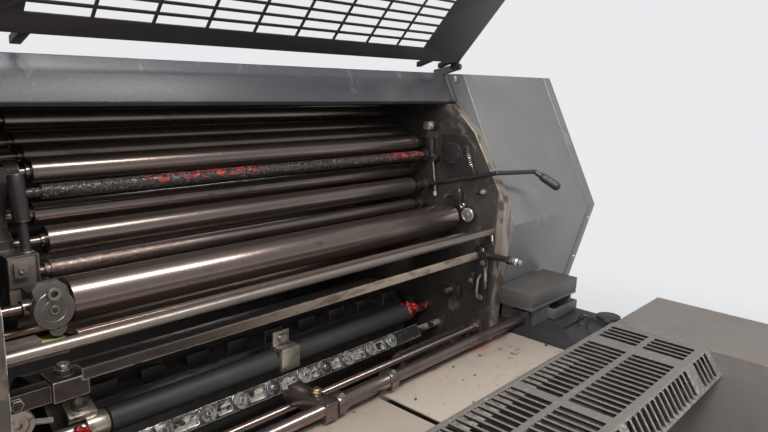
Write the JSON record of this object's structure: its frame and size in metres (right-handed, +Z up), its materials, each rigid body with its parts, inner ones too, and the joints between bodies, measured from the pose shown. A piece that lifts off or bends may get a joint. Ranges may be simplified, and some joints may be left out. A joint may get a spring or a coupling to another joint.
{
  "type": "offset printing press",
  "caption": "Sheet-fed offset printing press with open roller train, raised mesh guard, slotted delivery cover and painted side covers.",
  "frame": {"origin": "on the floor below the middle of the machine", "axes": "+X along the roller axes to the right as seen from the delivery, -Y the delivery end, +Y the feeder end, +Z up"},
  "size_m": [1.578, 2.8, 1.7173],
  "materials": {
    "hammer_grey": "hammer-finish grey paint",
    "dark_hammer": "dark grey hammer-finish paint",
    "black_sheet": "satin black paint",
    "bare_cast": "bare, stained",
    "roller_steel": "dark polished",
    "bright_steel": "worn bright steel",
    "inked_black": "steel caked with black and red ink",
    "oily_black": "oily black",
    "dark_rubber": "matte black rubber sleeve",
    "tray_sheet": "stained brown-grey sheet",
    "guide_plate": "worn beige, ink-stained",
    "warm_deck": "warm grey, worn at edges",
    "grille_paint": "dark grey paint, worn to steel at the edges",
    "box_plastic": "dark matte",
    "pile_wood": "plain boards"
  },
  "bodies": {
    "press": {"base_plinth": "oily_black", "base_rail_left": "oily_black", "base_rail_right": "oily_black", "side_frame_left": "bare_cast", "side_frame_right": "bare_cast", "side_cover_left": "hammer_grey", "side_cover_right": "hammer_grey", "lower_cover_left": "hammer_grey", "lower_cover_right": "hammer_grey", "rear_panel": "dark_hammer", "top_beam": "dark_hammer", "hinge_brackets": "dark_hammer", "ink_duct": "oily_black", "bearings_left": "oily_black", "bearings_right": "oily_black", "drip_tray": "tray_sheet", "cross_rod": "bright_steel", "lower_lip": "tray_sheet", "transfer_drum": "oily_black", "clamp_bar": "dark_rubber", "blanket_cylinder": "roller_steel", "gripper_bar": "bright_steel", "guide_shaft": "roller_steel", "delivery_shaft": "roller_steel", "sheet_guide_plates": "guide_plate", "delivery_grille": "grille_paint", "deck_left": "black_sheet", "deck_right": "black_sheet", "junction_box": "box_plastic", "delivery_cover_left": "warm_deck", "delivery_cover_right": "warm_deck", "delivery_end_panel": "dark_hammer", "pile_board": "pile_wood", "feeder_side_left": "hammer_grey", "feeder_side_right": "hammer_grey", "feed_board": "bright_steel", "feeder_table": "pile_wood", "suction_head": "oily_black"},
    "guard": {"roller_guard": "black_sheet"},
    "lever": {"control_lever": "black_sheet"},
    "form": {"form_roller": "roller_steel"},
    "thin": {"thin_rider": "roller_steel"},
    "vibrator": {"vibrator_roller": "roller_steel"},
    "idler": {"idler_roller": "roller_steel"},
    "inked": {"inked_rod": "inked_black"},
    "lower_dist": {"lower_distributor": "roller_steel"},
    "upper_dist": {"upper_distributor": "roller_steel"},
    "rider": {"rider_roller": "roller_steel"},
    "transfer": {"transfer_roller": "roller_steel"}
  },
  "joints": [
    {"name": "guard_hinge", "type": "hinge", "parent": "press", "child": "guard", "pos_m": [0, -0.15, 1.478], "axis": [1, 0, 0], "range_deg": [0, 112]},
    {"name": "lever_pivot", "type": "hinge", "parent": "press", "child": "lever", "pos_m": [0.382, -0.11, 1.24], "axis": [1, 0, 0], "range_deg": [0, 10]},
    {"name": "form_spin", "type": "hinge", "parent": "press", "child": "form", "pos_m": [0, -0.172, 1.178], "axis": [1, 0, 0], "continuous": true},
    {"name": "thin_spin", "type": "hinge", "parent": "press", "child": "thin", "pos_m": [0, -0.08427, 1.19299], "axis": [1, 0, 0], "continuous": true},
    {"name": "vibrator_spin", "type": "hinge", "parent": "press", "child": "vibrator", "pos_m": [0, -0.07727, 1.23083], "axis": [1, 0, 0], "continuous": true},
    {"name": "idler_spin", "type": "hinge", "parent": "press", "child": "idler", "pos_m": [0, -0.05829, 1.26283], "axis": [1, 0, 0], "continuous": true},
    {"name": "inked_spin", "type": "hinge", "parent": "press", "child": "inked", "pos_m": [0, -0.09428, 1.29683], "axis": [1, 0, 0], "continuous": true},
    {"name": "lower_dist_spin", "type": "hinge", "parent": "press", "child": "lower_dist", "pos_m": [0, -0.07431, 1.32079], "axis": [1, 0, 0], "continuous": true},
    {"name": "upper_dist_spin", "type": "hinge", "parent": "press", "child": "upper_dist", "pos_m": [0, -0.03531, 1.3358], "axis": [1, 0, 0], "continuous": true},
    {"name": "rider_spin", "type": "hinge", "parent": "press", "child": "rider", "pos_m": [0, -0.0053, 1.35131], "axis": [1, 0, 0], "continuous": true},
    {"name": "transfer_spin", "type": "hinge", "parent": "press", "child": "transfer", "pos_m": [0, 0.02471, 1.37849], "axis": [1, 0, 0], "continuous": true}
  ],
  "couplings": [
    {"joint": "thin_spin", "follows": "form_spin", "ratio": -2.3333},
    {"joint": "vibrator_spin", "follows": "form_spin", "ratio": 1.5135},
    {"joint": "idler_spin", "follows": "form_spin", "ratio": -2},
    {"joint": "inked_spin", "follows": "form_spin", "ratio": 3.1111},
    {"joint": "lower_dist_spin", "follows": "form_spin", "ratio": -1.8065},
    {"joint": "upper_dist_spin", "follows": "form_spin", "ratio": 1.8065},
    {"joint": "rider_spin", "follows": "form_spin", "ratio": -2},
    {"joint": "transfer_spin", "follows": "form_spin", "ratio": 1.8667}
  ]
}
